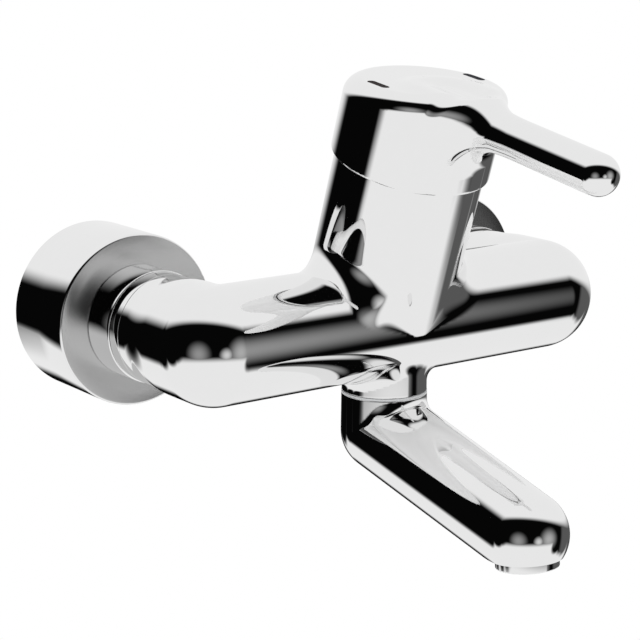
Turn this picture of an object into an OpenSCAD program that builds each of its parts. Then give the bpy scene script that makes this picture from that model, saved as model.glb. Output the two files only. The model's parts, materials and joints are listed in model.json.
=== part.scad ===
// Wall-mounted single-lever basin mixer with a swivel spout, in millimetres.
// The finished wall is the plane Y = 0, the user stands on the -Y side, X runs along the wall and Z is up.
// The origin lies midway between the two wall inlets.

/* [Wall unions] */
// distance between the two wall inlets
inlet_spacing = 150; // [146:1:154]
// height of the mixer's inlets over the wall inlets
union_throw = 8; // [6:0.5:10]
// outer radius of the G 1/2 thread that goes into the wall
wall_thread_radius = 10.48; // [10:0.01:11]
// length of thread in the wall
wall_thread_length = 18; // [14:0.5:22]
// outer radius of the G 3/4 thread under the nut
union_thread_radius = 13.22; // [13:0.01:13.5]
// radius of the waterway through the union
union_bore_radius = 7; // [6:0.25:7.5]
// depth from the wall where the mixer side of the union starts
union_step = 9; // [7:0.5:11]
// overlap of the two offset halves of the union
union_overlap = 6; // [4:0.5:8]
// how much thinner the wall side of the union is than its thread
union_relief = 0.8; // [0.5:0.1:1.2]

/* [Rosettes] */
// radius of the wall cover
rosette_radius = 32; // [31:0.25:34]
// depth of the wall cover
rosette_depth = 34.3; // [32:0.1:36]
// thickness of its side and face
rosette_wall = 1.4; // [1:0.1:2]
// rounding of its front edge
rosette_edge = 1; // [0.6:0.1:1.3]
// length of the sleeve that slides on the union
sleeve_length = 9; // [6:0.5:12]

/* [Union nuts] */
// radius of the smooth round nut
nut_radius = 20.8; // [20.5:0.1:22]
// length of the nut
nut_length = 14.4; // [13:0.1:15]
// rounding of its front edge
nut_edge = 0.4; // [0.3:0.1:0.8]
// thickness of the nut's inner shoulder
nut_shoulder = 2.6; // [2:0.1:3.2]
// length of thread inside the nut
nut_grip = 7.2; // [6:0.1:7.6]
// thickness of the flat seal
washer_thickness = 1.8; // [1.4:0.1:2.2]
// how far the flat seal keeps off the waterway
washer_inset = 0.5; // [0.3:0.1:1]

/* [Inlet bushes] */
// length of the bush between nut and arm
bush_length = 5.7; // [5:0.1:7]
// outer radius of the bush's tail, inside the nut
tail_radius = 10.8; // [10.2:0.1:11.4]
// radius of the bush's stem in the arm
stem_radius = 14.9; // [14:0.1:15.8]
// length of the stem
stem_length = 12; // [9:0.5:14]
// radius of the waterway through bush and bar
waterway_radius = 7.5; // [6.5:0.25:8]

/* [Bar and arms] */
// radius of the bar and its arms
bar_radius = 21.15; // [20.6:0.05:22]
// distance from the wall to the bar's axis
bar_reach = 85.6; // [82:0.1:89]
// distance from the wall where the arm's taper starts
taper_start = 68; // [66:0.5:71]
// slope of the arm's side along its taper, in degrees
taper_angle = 3.2; // [2:0.1:4]

/* [Tower] */
// forward lean of the tower, degrees
tower_lean = 18.9; // [16:0.1:21]
// radius of the tower
tower_radius = 27; // [26.5:0.1:28]
// height of the tower along its axis, from the level of the bar
tower_height = 63.7; // [62:0.1:65]
// how far the tower's axis passes behind the bar's axis
tower_setback = 6.6; // [5:0.1:8]
// height where the rounding of the tower's foot starts
tower_foot = 2; // [1:0.25:4]
// rounding of the tower's foot, inside the bar
tower_foot_round = 12; // [10:0.5:13]
// radius of the rounded top edge of the tower
tower_edge = 0.6; // [0.4:0.1:1]

/* [Neck and spout] */
// radius of the neck under the bar
neck_radius = 15.8; // [15.4:0.1:16]
// drop from the bar's axis to the swivel seam
neck_drop = 26.6; // [25.5:0.1:28]
// thickness of the glide ring in the seam
ring_thickness = 0.8; // [0.6:0.1:1.2]
// drop from the bar's axis to the spout's bend
bend_drop = 42.2; // [41:0.1:44]
// radius of the spout at its bend
bend_radius = 16.1; // [15.8:0.1:16.6]
// radius of the spout at its tip
tip_radius = 15.1; // [14.8:0.1:15.6]
// horizontal distance from the swivel to the tip's centre
spout_reach = 79.5; // [75:0.5:84]
// slope of the spout below level, degrees
spout_fall = 13.3; // [11:0.1:15]
// radius of the waterway in the spout
spout_bore_radius = 11; // [10.4:0.1:11.4]
// running radius of the spigot in the neck
spigot_radius = 10.93; // [10.5:0.01:11.2]
// thickness of the spigot's wall
spigot_wall = 3.4; // [3:0.1:4]
// length of the spigot above the seam
spigot_rise = 14.6; // [14:0.1:15.2]
// length of the spigot inside the spout
spigot_set = 10; // [8:0.5:11]
// radius of the cord of the two sealing rings
oring_cord = 0.95; // [0.8:0.05:1.05]
// height of the lower sealing ring's groove over the seam
oring_low = 7.6; // [7.4:0.1:7.8]
// height of the upper sealing ring's groove over the seam
oring_high = 11.7; // [11.2:0.1:12]
// height of the stop screw over the seam
stop_height = 4.4; // [4:0.1:4.6]
// radius of the stop screw's threaded hole
stop_radius = 2; // [1.8:0.05:2.1]
// depth of the spigot's groove for the stop screw
stop_groove = 1.6; // [1.4:0.1:1.8]
// how far the stop screw reaches into that groove
stop_bite = 1.2; // [1:0.1:1.3]
// how far the stop screw lies below the neck's surface
stop_recess = 0.4; // [0.3:0.1:0.8]
// depth of the hexagon in the stop screw
stop_hex = 1.6; // [1.2:0.1:2]

/* [Aerator] */
// radius of the outlet ring
aerator_radius = 11.1; // [10.9:0.1:11.5]
// height of the outlet ring
aerator_height = 9; // [8:0.25:10]
// drop from the tip's centre to the outlet
outlet_drop = 11.4; // [11.1:0.1:12]
// forward tilt of the outlet, degrees
outlet_tilt = 6.8; // [4:0.1:9]
// wall thickness of the outlet ring
aerator_wall = 1.5; // [1.2:0.1:1.8]
// radius of each jet hole
jet_radius = 0.9; // [0.7:0.05:1]
// distance between the rings of jet holes
jet_pitch = 2.7; // [2.5:0.05:2.9]
// how far the jet plate lies inside the outlet ring
insert_recess = 1; // [0.6:0.1:1.6]
// thickness of the seal above the outlet ring
outlet_seal = 1.8; // [1.4:0.1:2]
// depth of the outlet's socket above the ring
socket_room = 2; // [2:0.1:2.6]

/* [Handle] */
// how far the cap stands out over the tower
cap_overhang = 1.7; // [1.6:0.05:2.2]
// height of the cap's top over its lower edge, on the axis
cap_height = 30.3; // [29:0.1:32]
// tilt of the top face to the tower's cross-section, degrees
cap_tilt = 10.4; // [8:0.1:12]
// rounding of the top rim
cap_round = 6; // [5:0.25:7]
// rounding of the lower edge
cap_hem = 5; // [4:0.25:6]
// height of the widest line of the lower rounding
cap_hem_height = 2.55; // [2:0.05:2.6]
// radius of the lever
lever_radius = 7; // [6.6:0.1:7.3]
// distance from the cap's axis to the centre of the lever's round end
lever_reach = 88.7; // [80:0.5:98]
// rise of the lever from the tower's cross-section, degrees
lever_rise = 8.5; // [7:0.1:10]
// depth of the lever's axis under the middle of the top face
lever_depth = 6.8; // [6.6:0.1:7.2]
// radius of the hollow blend between lever and cap
lever_blend = 9; // [7:0.5:11]
// how far the blend's flare stands out from the lever
root_flare = 4; // [3:0.25:5]
// how far the blend's end is set back towards the cap
root_setback = 4; // [3:0.25:5]
// depth of the blend's top below the cap's top face
root_below = 0.7; // [0.5:0.1:1]
// length of each index mark
mark_length = 10.3; // [9:0.1:12]
// width of each index mark
mark_width = 2.4; // [2:0.1:2.8]
// distance of each index mark from the side of the cap
mark_inset = 7.3; // [6.8:0.1:8.5]
// distance of each index mark behind the middle of the cap
mark_back = 1; // [0:0.25:2]
// depth of each index mark
mark_depth = 0.8; // [0.6:0.1:1.2]
// depth of the grub screw's axis under the middle of the top face
grub_depth = 6.2; // [6:0.1:6.6]
// radius of the grub screw in the cap
grub_radius = 2.5; // [2:0.1:3]
// length of the grub screw in the cap
grub_length = 10; // [8:0.5:12]
// length of the plug over the grub screw
plug_length = 5; // [4:0.25:6]

/* [Cartridge] */
// radius of the cartridge chamber in the tower
chamber_radius = 20.2; // [20:0.05:20.6]
// depth of the chamber below the top of the tower
chamber_depth = 35.7; // [35:0.1:37]
// depth of the lever's hinge below the top of the tower
pivot_depth = 8.5; // [8.2:0.1:8.8]
// thickness of the cartridge's base
base_thickness = 4.5; // [4:0.1:5]
// thickness of each ceramic disc
disc_thickness = 4; // [3.6:0.1:4.2]
// radius of the fixed disc
fixed_disc_radius = 17.5; // [16.5:0.1:17.8]
// radius of the moving disc and its carrier
moving_disc_radius = 13.4; // [12.8:0.1:13.8]
// thickness of the disc carrier
carrier_thickness = 5; // [4.6:0.1:5.4]
// wall thickness of the cartridge's shell
shell_wall = 1.7; // [1.5:0.05:1.9]
// radius of the rotor's hub
hub_radius = 14.5; // [13.8:0.1:14.8]
// reach of the rotor's slot in front of the axis
slot_front = 8.75; // [8.5:0.05:9.2]
// room behind the tilted shank in the rotor's slot
slot_room = 0.5; // [0.3:0.05:0.7]
// thickness of the shell's inner lip
lip_thickness = 2.5; // [2:0.1:2.8]
// room for the ring nut above the shell
clamp_room = 8.2; // [8:0.1:8.6]
// thickness of the ring nut
clamp_thickness = 3.9; // [3.4:0.1:4]
// width of the key slots in the ring nut
key_slot = 3; // [2:0.25:4]
// radius of the inlet and outlet ports
port_radius = 3.8; // [3.2:0.1:4]
// radius of the ports in the fixed disc
disc_port_radius = 3.4; // [3:0.1:3.6]
// sideways distance of the two inlet ports from the axis
port_side = 9.5; // [9:0.1:10]
// distance of the inlet ports behind the axis
port_back = 3; // [2:0.1:3.5]
// distance of the outlet port in front of the axis
port_front = 9; // [8.5:0.1:9.5]
// width of the port seals
seal_width = 1.8; // [1.4:0.1:2]
// thickness of the port seals
seal_thickness = 1.6; // [1.2:0.1:2]
// radius of the hinge pin
pin_radius = 2; // [1.8:0.05:2.3]
// how far each end of the pin lies inside the hub
pin_recess = 0.5; // [0.3:0.1:1]
// thickness of the spindle's eye round the pin
eye_wall = 2.6; // [2.2:0.1:2.8]
// radius of the spindle's shank
shank_radius = 3.8; // [3.4:0.1:4.1]
// radius of the spindle's round foot
foot_radius = 3; // [2.7:0.1:3.2]
// radius of the spindle's neck over that foot
foot_neck = 2.1; // [1.9:0.1:2.2]
// gap between the glide dome and the cap's hollow
dome_gap = 3.7; // [3:0.1:4.4]
// thickness of the glide dome
dome_wall = 1.4; // [1.2:0.1:1.8]
// lift of the lever, degrees
lift_angle = 20; // [18:1:21]

/* [Fits] */
// gap between moving faces
run_gap = 0.3; // [0.25:0.05:0.4]
// radial play of screw threads
thread_play = 0.05; // [0.03:0.01:0.08]
// radial play of slip fits
slip_play = 0.1; // [0.05:0.01:0.15]
// radial play of turning shafts
shaft_play = 0.07; // [0.03:0.01:0.09]
// film between the ceramic discs
disc_film = 0.05; // [0.03:0.01:0.08]
// play of the spindle's foot in the carrier
foot_play = 0.2; // [0.16:0.02:0.26]
// play over the glide ring in the swivel seam
ring_play = 0.05; // [0.03:0.01:0.1]
// how far the sealing rings stand out of the spigot
oring_proud = 0.02; // [0:0.01:0.04]
// room between cap and tower while the lever tilts
cap_play = 0.38; // [0.32:0.02:0.45]

/* [Hidden] */
$fn = 96;
bead_facets = 32;
rim_beads = 60;
jet_rings = 2;
jets_per_ring = 6;
overrun = 1;
cap_radius = tower_radius + cap_overhang;
mark_offset = cap_radius - mark_inset;
half_spacing = inlet_spacing / 2;
bar_z = union_throw;
tower_y = tower_setback - bar_reach;
arm_end = rosette_depth + run_gap + nut_length + run_gap + bush_length;
nut_back = rosette_depth + run_gap;
nut_front = nut_back + nut_length;
union_end = nut_back + nut_grip;
washer_end = union_end + washer_thickness;
flange_end = nut_front - nut_shoulder;
union_shell = union_thread_radius - union_relief;
flange_radius = union_thread_radius - run_gap;
hinge_h = tower_height - pivot_depth;
cap_base = tower_height + run_gap;
cap_top = cap_base + cap_height;
hollow_radius = norm([tower_radius, pivot_depth]) + cap_play;
dome_radius = hollow_radius - dome_gap;
slot_back = (cap_base - hinge_h) * tan(lift_angle) + shank_radius / cos(lift_angle) + slot_room;
floor_h = tower_height - chamber_depth;
base_top = floor_h + base_thickness;
fixed_top = base_top + disc_thickness;
moving_base = fixed_top + disc_film;
moving_top = moving_base + disc_thickness - disc_film;
carrier_top = moving_top + carrier_thickness;
shell_top = tower_height - clamp_room;
lip_base = shell_top - lip_thickness;
shell_radius = chamber_radius - slip_play;
shell_inner = shell_radius - shell_wall;
rotor_base = carrier_top + run_gap;
rotor_step = lip_base - run_gap;
rotor_radius = shell_inner - run_gap;
foot_h = moving_top + foot_radius + foot_play;
lever_start = cap_top - lever_depth;
shank_top = lever_start + lever_radius / 3;
grub_start = shank_radius / cos(cap_tilt) + grub_radius * tan(cap_tilt) + slip_play;
spigot_top = bar_z - neck_drop + spigot_rise;
seam_z = bar_z - neck_drop;
bend_z = bar_z - bend_drop;
spout_length = spout_reach / cos(spout_fall);
tip_y = -bar_reach - spout_reach;
tip_z = bend_z - spout_reach * tan(spout_fall);
spigot_inner = spigot_radius - spigot_wall;
groove_radius = spigot_radius - 2 * oring_cord + oring_proud;
groove_width = 2.4 * oring_cord;
socket_radius = aerator_radius + thread_play;
insert_radius = aerator_radius - aerator_wall;
side_step = 0.01;
chrome_tint = [0.82, 0.83, 0.84];
brass_tint = [0.78, 0.62, 0.34];
white_tint = [0.9, 0.9, 0.88];
grey_tint = [0.55, 0.57, 0.6];
black_tint = [0.12, 0.12, 0.12];
hot_tint = [0.5, 0.08, 0.07];
cold_tint = [0.07, 0.14, 0.42];

// puts a shape on an arm's axis, with its local Z counted forward from the wall
module arm_axis(side, height = bar_z) {
    translate([side * half_spacing, 0, height])
        rotate([90, 0, 0])
            children();
}

// puts a shape on the tower's axis, with its local Z counted up from the level of the bar
module on_tower() {
    translate([0, tower_y, bar_z])
        rotate([tower_lean, 0, 0])
            children();
}

// puts a shape on the cap's top face, with its local Z pointing out of the face
module on_cap_top() {
    on_tower()
        translate([0, 0, cap_top])
            rotate([-cap_tilt, 0, 0])
                children();
}

// puts a shape on the lever's axis, with its local Z running out to the lever's end
module on_lever() {
    on_tower()
        translate([0, 0, lever_start])
            rotate([90 - lever_rise, 0, 0])
                children();
}

// puts a shape on the spout's sloping axis, with its local Z running out to the tip
module on_spout() {
    translate([0, -bar_reach, bend_z])
        rotate([90 + spout_fall, 0, 0])
            children();
}

// puts a shape on the outlet's axis, with its local Z running up into the tip
module on_outlet() {
    translate([0, tip_y, tip_z])
        rotate([-outlet_tilt, 0, 0])
            translate([0, 0, -outlet_drop])
                children();
}

// ring between two radii and two heights
module ring(inner, outer, low, high) {
    translate([0, 0, low])
        difference() {
            cylinder(r = outer, h = high - low);
            translate([0, 0, -overrun])
                cylinder(r = inner, h = high - low + 2 * overrun);
        }
}

// half section of a disc with a rounded outer edge at its top
module round_edge_section(radius, low, high, edge) {
    translate([0, low])
        square([radius, high - low - edge]);
    translate([0, low])
        square([radius - edge, high - low]);
    translate([radius - edge, high - edge])
        circle(r = edge);
}

// half of a disc with its centre on the axis, at a given height
module half_disc(height, radius) {
    intersection() {
        translate([0, height])
            circle(r = radius);
        translate([0, height - 2 * radius])
            square([2 * radius, 4 * radius]);
    }
}

// radius of the arm at a distance from the wall
function taper_radius(distance) = bar_radius - max(0, taper_start - distance) * tan(taper_angle);

// half section of the arm's taper, between two distances from the wall
module taper_section(near, far) {
    polygon([[0, near], [taper_radius(near), near], [taper_radius(far), far], [0, far]]);
}

module bar() {
    translate([0, -bar_reach, bar_z])
        rotate([0, 90, 0])
            rotate_extrude() {
                translate([0, -half_spacing])
                    square([bar_radius, inlet_spacing]);
                for (end = [-1, 1])
                    half_disc(end * half_spacing, bar_radius);
            }
}

module arm(side) {
    arm_axis(side)
        rotate_extrude() {
            taper_section(arm_end, taper_start);
            translate([0, taper_start])
                square([bar_radius, bar_reach - taper_start]);
        }
}

module tower() {
    on_tower()
        rotate_extrude() {
            translate([0, tower_foot - tower_foot_round])
                square([tower_radius - tower_foot_round, tower_foot_round]);
            intersection() {
                translate([tower_radius - tower_foot_round, tower_foot])
                    circle(r = tower_foot_round);
                translate([0, tower_foot - tower_foot_round])
                    square([tower_radius, tower_foot_round]);
            }
            round_edge_section(tower_radius, tower_foot, tower_height, tower_edge);
        }
}

module neck() {
    translate([0, -bar_reach, seam_z])
        cylinder(r = neck_radius, h = neck_drop);
}

// the places of the three ports on the tower's cross-section
module at_ports() {
    for (side = [-1, 1])
        translate([side * port_side, port_back, 0])
            children();
    translate([0, -port_front, 0])
        children();
}

module body() {
    color(chrome_tint)
        difference() {
            union() {
                bar();
                arm(-1);
                arm(1);
                tower();
                neck();
            }
            on_tower()
                translate([0, 0, floor_h])
                    cylinder(r = chamber_radius, h = chamber_depth + overrun);
            for (side = [-1, 1]) {
                arm_axis(side)
                    translate([0, 0, arm_end - overrun])
                        cylinder(r = stem_radius + slip_play, h = stem_length + overrun);
                arm_axis(side)
                    translate([0, 0, arm_end])
                        cylinder(r = waterway_radius, h = bar_reach - arm_end + waterway_radius / 2);
                translate([side * half_spacing, -bar_reach, bar_z])
                    rotate([0, -side * 90, 0])
                        translate([0, 0, -waterway_radius / 2])
                            cylinder(r = waterway_radius,
                                h = half_spacing - port_side + waterway_radius / 2);
                on_tower()
                    translate([side * port_side, port_back, 0])
                        cylinder(r = port_radius, h = floor_h + overrun);
            }
            on_tower()
                translate([0, -port_front, -neck_drop / 2])
                    cylinder(r = port_radius, h = floor_h + neck_drop / 2 + overrun);
            translate([0, -bar_reach, seam_z - overrun])
                cylinder(r = spigot_radius + shaft_play, h = spigot_rise + 2 * overrun);
            translate([0, -bar_reach, seam_z + stop_height])
                rotate([-90, 0, 0])
                    cylinder(r = stop_radius, h = neck_radius + overrun);
        }
}

module rosette(side) {
    color(chrome_tint)
        arm_axis(side)
            rotate_extrude()
                difference() {
                    union() {
                        difference() {
                            round_edge_section(rosette_radius, 0, rosette_depth, rosette_edge);
                            translate([0, -overrun])
                                square([rosette_radius - rosette_wall,
                                    rosette_depth - rosette_wall + overrun]);
                        }
                        translate([0, rosette_depth - sleeve_length])
                            square([union_thread_radius + 2 * rosette_wall, sleeve_length]);
                    }
                    translate([0, -overrun])
                        square([union_thread_radius + slip_play, rosette_depth + 2 * overrun]);
                }
}

module s_union(side) {
    color(brass_tint)
        difference() {
            union() {
                arm_axis(side, 0)
                    translate([0, 0, -wall_thread_length])
                        cylinder(r = wall_thread_radius, h = wall_thread_length + overrun);
                arm_axis(side, 0)
                    translate([0, 0, run_gap])
                        cylinder(r = union_shell, h = union_step + union_overlap);
                arm_axis(side)
                    translate([0, 0, union_step])
                        cylinder(r = union_thread_radius, h = union_end - union_step);
            }
            arm_axis(side, 0)
                translate([0, 0, -wall_thread_length - overrun])
                    cylinder(r = union_bore_radius,
                        h = wall_thread_length + union_step + union_overlap - overrun);
            arm_axis(side)
                translate([0, 0, union_step + 2 * overrun])
                    cylinder(r = union_bore_radius + overrun, h = union_end);
        }
}

module union_nut(side) {
    color(chrome_tint)
        arm_axis(side)
            rotate_extrude()
                difference() {
                    round_edge_section(nut_radius, nut_back, nut_front, nut_edge);
                    translate([0, nut_back - overrun])
                        square([union_thread_radius + thread_play, flange_end - nut_back + overrun]);
                    translate([0, nut_back])
                        square([tail_radius + run_gap, nut_length + overrun]);
                }
}

module inlet_washer(side) {
    color(black_tint)
        arm_axis(side)
            ring(waterway_radius + washer_inset, flange_radius, union_end, washer_end);
}

module inlet_bush(side) {
    color(chrome_tint)
        arm_axis(side)
            rotate_extrude()
                difference() {
                    union() {
                        translate([0, washer_end])
                            square([flange_radius, flange_end - washer_end]);
                        translate([0, washer_end])
                            square([tail_radius, arm_end - washer_end]);
                        translate([0, arm_end - bush_length])
                            square([taper_radius(arm_end), bush_length]);
                        translate([0, washer_end])
                            square([waterway_radius + overrun, arm_end - washer_end]);
                        translate([0, arm_end - overrun])
                            square([stem_radius, stem_length + overrun - run_gap]);
                    }
                    translate([0, 0])
                        square([waterway_radius, arm_end + stem_length]);
                }
}

module cartridge_base() {
    color(white_tint)
        on_tower()
            difference() {
                translate([0, 0, floor_h])
                    cylinder(r = shell_radius, h = base_thickness);
                translate([0, 0, floor_h - overrun])
                    at_ports()
                        cylinder(r = port_radius, h = base_thickness + 2 * overrun);
                translate([0, 0, floor_h - overrun])
                    at_ports()
                        cylinder(r = port_radius + seal_width, h = seal_thickness + overrun);
            }
}

module port_seals() {
    color(black_tint)
        on_tower()
            at_ports()
                ring(port_radius + slip_play, port_radius + seal_width, floor_h, floor_h + seal_thickness);
}

module fixed_disc() {
    color(white_tint)
        on_tower()
            difference() {
                translate([0, 0, base_top])
                    cylinder(r = fixed_disc_radius, h = disc_thickness);
                translate([0, 0, base_top - overrun])
                    at_ports()
                        cylinder(r = disc_port_radius, h = disc_thickness + 2 * overrun);
            }
}

module moving_disc() {
    color(white_tint)
        on_tower()
            difference() {
                translate([0, 0, moving_base])
                    cylinder(r = moving_disc_radius, h = moving_top - moving_base);
                translate([0, port_back, moving_base - overrun])
                    cylinder(r = port_radius, h = disc_thickness / 2 + overrun);
            }
}

module disc_carrier() {
    color(grey_tint)
        on_tower()
            difference() {
                translate([0, 0, moving_top])
                    cylinder(r = moving_disc_radius, h = carrier_thickness);
                translate([0, 0, moving_top - overrun])
                    cylinder(r = foot_radius + foot_play, h = carrier_thickness + 2 * overrun);
            }
}

module cartridge_housing() {
    color(grey_tint)
        on_tower()
            difference() {
                translate([0, 0, base_top])
                    cylinder(r = shell_radius, h = shell_top - base_top);
                translate([0, 0, base_top - overrun])
                    cylinder(r = shell_inner, h = lip_base - base_top + overrun);
                translate([0, 0, lip_base - overrun])
                    cylinder(r = hub_radius + run_gap, h = lip_thickness + 2 * overrun);
            }
}

module rotor() {
    color(white_tint)
        on_tower()
            difference() {
                union() {
                    translate([0, 0, rotor_base])
                        cylinder(r = rotor_radius, h = rotor_step - rotor_base);
                    translate([0, 0, rotor_base])
                        cylinder(r = hub_radius, h = cap_base - rotor_base);
                }
                translate([-shank_radius - run_gap, -slot_front, rotor_base - overrun])
                    cube([2 * shank_radius + 2 * run_gap, slot_front + slot_back, cap_base]);
                translate([-hub_radius - overrun, 0, hinge_h])
                    rotate([0, 90, 0])
                        cylinder(r = pin_radius + thread_play, h = 2 * hub_radius + 2 * overrun);
            }
}

module pivot_pin() {
    color(grey_tint)
        on_tower()
            translate([pin_recess - hub_radius, 0, hinge_h])
                rotate([0, 90, 0])
                    cylinder(r = pin_radius, h = 2 * (hub_radius - pin_recess));
}

module clamp_nut() {
    color(brass_tint)
        on_tower()
            difference() {
                ring(hub_radius + 2 * run_gap, chamber_radius - thread_play,
                    shell_top, shell_top + clamp_thickness);
                for (turn = [0, 90])
                    rotate([0, 0, turn])
                        translate([-chamber_radius - overrun, -key_slot / 2,
                            shell_top + clamp_thickness / 2])
                            cube([2 * chamber_radius + 2 * overrun, key_slot, clamp_thickness]);
            }
}

module glide_dome() {
    color(chrome_tint)
        on_tower()
            difference() {
                union() {
                    difference() {
                        translate([0, 0, hinge_h])
                            sphere(r = dome_radius);
                        translate([0, 0, hinge_h])
                            sphere(r = dome_radius - dome_wall);
                    }
                    translate([0, 0, cap_base])
                        cylinder(r = dome_radius - dome_wall, h = dome_wall);
                }
                translate([0, 0, hinge_h - 2 * dome_radius])
                    cylinder(r = 2 * dome_radius, h = 2 * dome_radius + cap_base - hinge_h);
                translate([-shank_radius - run_gap, -shank_radius - 2 * run_gap, cap_base - overrun])
                    cube([2 * shank_radius + 2 * run_gap,
                        2 * shank_radius + 4 * run_gap + dome_radius * sin(lift_angle), dome_radius]);
            }
}

module spindle() {
    color(brass_tint)
        on_tower()
            difference() {
                union() {
                    translate([0, 0, hinge_h])
                        cylinder(r = shank_radius, h = shank_top - hinge_h);
                    translate([-shank_radius, 0, hinge_h])
                        rotate([0, 90, 0])
                            cylinder(r = pin_radius + eye_wall, h = 2 * shank_radius);
                    translate([0, 0, foot_h])
                        cylinder(r = foot_neck, h = hinge_h - foot_h);
                    translate([0, 0, foot_h])
                        sphere(r = foot_radius);
                }
                translate([-shank_radius - overrun, 0, hinge_h])
                    rotate([0, 90, 0])
                        cylinder(r = pin_radius + shaft_play, h = 2 * shank_radius + 2 * overrun);
            }
}

// cap with a tilted top, its rim and its hem rounded
module cap_form() {
    rim = cap_radius - cap_round;
    rim_h = cap_top - cap_round / cos(cap_tilt);
    hem_h = cap_base + cap_hem_height;
    hull() {
        for (turn = [0 : 360 / rim_beads : 359])
            translate([rim * cos(turn), rim * sin(turn), rim_h - rim * sin(turn) * tan(cap_tilt)])
                rotate([0, 0, turn])
                    sphere(r = cap_round, $fn = bead_facets);
        translate([0, 0, hem_h])
            rotate_extrude($fn = rim_beads)
                translate([cap_radius - cap_hem, 0])
                    circle(r = cap_hem, $fn = bead_facets);
    }
}

module lever_form() {
    on_lever()
        rotate_extrude() {
            square([lever_radius, lever_reach]);
            half_disc(lever_reach, lever_radius);
        }
}

// trumpet-shaped root of the lever, cut off below the cap's top face
module lever_root() {
    root_end = cap_radius + lever_blend - root_setback;
    intersection() {
        on_lever()
            rotate_extrude()
                difference() {
                    translate([0, cap_radius / 2])
                        square([lever_radius + root_flare, root_end - cap_radius / 2]);
                    translate([lever_radius + lever_blend, root_end])
                        circle(r = lever_blend);
                }
        on_cap_top()
            translate([-2 * cap_radius, -4 * cap_radius, -2 * cap_radius])
                cube([4 * cap_radius, 6 * cap_radius, 2 * cap_radius - root_below]);
    }
}

module mark_form(side, thick) {
    on_cap_top()
        translate([side * mark_offset, mark_back, -mark_depth])
            linear_extrude(thick) {
                square([mark_width, mark_length - mark_width], center = true);
                for (end = [-1, 1])
                    translate([0, end * (mark_length - mark_width) / 2])
                        circle(r = mark_width / 2);
            }
}

// puts a shape on the axis of the cap's grub screw, with its local Z running backwards from the cap's axis
module on_grub() {
    on_cap_top()
        translate([0, grub_depth * tan(cap_tilt), -grub_depth])
            rotate([-90, 0, 0])
                children();
}

module handle() {
    color(chrome_tint)
        difference() {
            union() {
                on_tower()
                    cap_form();
                lever_form();
                lever_root();
            }
            on_tower()
                translate([0, 0, cap_base - 2 * cap_hem])
                    cylinder(r = 2 * cap_radius, h = 2 * cap_hem);
            on_tower()
                translate([0, 0, hinge_h])
                    sphere(r = hollow_radius);
            on_tower()
                translate([0, 0, hinge_h])
                    cylinder(r = shank_radius + slip_play / 2, h = shank_top + slip_play - hinge_h);
            on_grub()
                cylinder(r = grub_radius + thread_play, h = 2 * cap_radius);
            mark_form(-1, 2 * mark_depth);
            mark_form(1, 2 * mark_depth);
        }
}

module index_mark(side) {
    mark_form(side, mark_depth - slip_play / 2);
}

module index_hot() {
    color(hot_tint)
        index_mark(-1);
}

module index_cold() {
    color(cold_tint)
        index_mark(1);
}

module handle_screw() {
    color(grey_tint)
        on_grub()
            difference() {
                translate([0, 0, grub_start])
                    cylinder(r = grub_radius, h = grub_length);
                translate([0, 0, grub_start + grub_length / 2])
                    cylinder(r = grub_radius / 2, h = grub_length, $fn = 6);
            }
}

module screw_plug() {
    color(grey_tint)
        on_grub()
            translate([0, 0, cap_radius - plug_length - grub_depth * tan(cap_tilt)])
                cylinder(r = grub_radius, h = plug_length);
}

module spout_form() {
    slope = asin((bend_radius - tip_radius) / spout_length);
    bend_side = bend_radius - side_step;
    tip_side = tip_radius - side_step;
    translate([0, -bar_reach, bend_z])
        sphere(r = bend_radius);
    translate([0, tip_y, tip_z])
        sphere(r = tip_radius);
    on_spout()
        translate([0, 0, bend_side * sin(slope)])
            cylinder(r1 = bend_side * cos(slope), r2 = tip_side * cos(slope),
                h = spout_length - (bend_side - tip_side) * sin(slope));
}

module spout() {
    color(chrome_tint)
        difference() {
            union() {
                spout_form();
                translate([0, -bar_reach, bend_z])
                    cylinder(r = neck_radius + slip_play, h = seam_z - ring_thickness - bend_z);
            }
            translate([0, -bar_reach, bend_z])
                cylinder(r = spigot_radius, h = bend_drop);
            on_spout()
                translate([0, 0, -tip_radius / 5])
                    cylinder(r = spout_bore_radius, h = spout_length + tip_radius / 3);
            on_outlet()
                translate([0, 0, -2 * outlet_drop])
                    cylinder(r = socket_radius, h = 2 * outlet_drop + aerator_height + socket_room);
        }
}

module spout_spigot() {
    color(brass_tint)
        translate([0, -bar_reach, seam_z])
            rotate_extrude()
                difference() {
                    translate([spigot_inner, -ring_thickness - spigot_set])
                        square([spigot_wall, spigot_rise + ring_thickness + spigot_set]);
                    for (level = [oring_low, oring_high])
                        translate([groove_radius, level])
                            square([2 * spigot_wall, groove_width]);
                    translate([spigot_radius - stop_groove, stop_height - grub_radius])
                        square([2 * spigot_wall, 2 * grub_radius]);
                }
}

module spout_orings() {
    color(black_tint)
        translate([0, -bar_reach, seam_z])
            for (level = [oring_low, oring_high])
                translate([0, 0, level + groove_width / 2])
                    rotate_extrude()
                        translate([groove_radius + oring_cord, 0])
                            circle(r = oring_cord);
}

module spout_screw() {
    color(grey_tint)
        translate([0, -bar_reach, seam_z + stop_height])
            rotate([-90, 0, 0])
                difference() {
                    translate([0, 0, spigot_radius - stop_bite])
                        cylinder(r = stop_radius - thread_play,
                            h = neck_radius - stop_recess - spigot_radius + stop_bite);
                    translate([0, 0, neck_radius - stop_recess - stop_hex])
                        cylinder(r = grub_radius / 3, h = neck_radius, $fn = 6);
                }
}

module swivel_ring() {
    color(white_tint)
        translate([0, -bar_reach, seam_z])
            ring(spigot_radius + slip_play, neck_radius + slip_play, -ring_thickness, -ring_play);
}

module aerator_housing() {
    color(chrome_tint)
        on_outlet()
            ring(insert_radius, aerator_radius, 0, aerator_height);
}

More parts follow.
